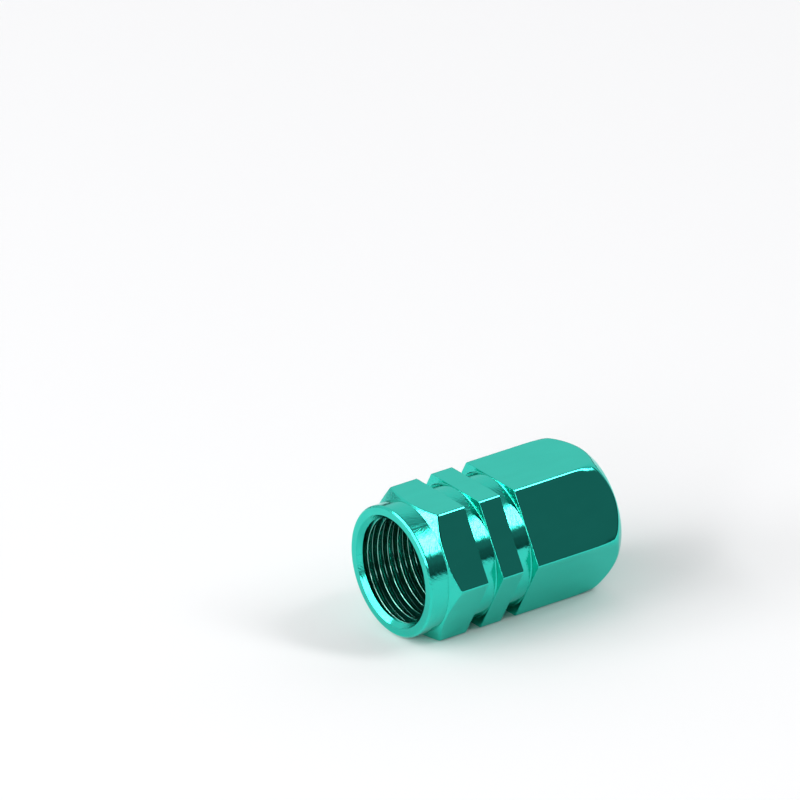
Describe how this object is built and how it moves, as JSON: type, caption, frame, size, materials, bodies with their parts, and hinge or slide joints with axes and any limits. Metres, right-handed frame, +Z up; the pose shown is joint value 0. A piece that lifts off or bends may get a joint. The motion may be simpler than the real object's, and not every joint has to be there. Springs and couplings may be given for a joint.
{
  "type": "tyre valve cap",
  "caption": "Green anodised hexagonal valve cap with a round collar at its threaded mouth, two turned grooves, a chamfered crown and a rubber seal inside.",
  "frame": {"origin": "on the surface that the cap lies on, under the middle of its length and width", "axes": "+X from the open mouth to the closed crown along the cap's own axis, +Z up, out of the flat opposite the one it lies on"},
  "size_m": [0.0152, 0.0104, 0.009],
  "materials": {
    "anodised_aluminium": "bright green anodised",
    "seal_rubber": "smooth moulded"
  },
  "bodies": {
    "root": {"cap_body": "anodised_aluminium", "seal_washer": "seal_rubber"}
  },
  "joints": []
}
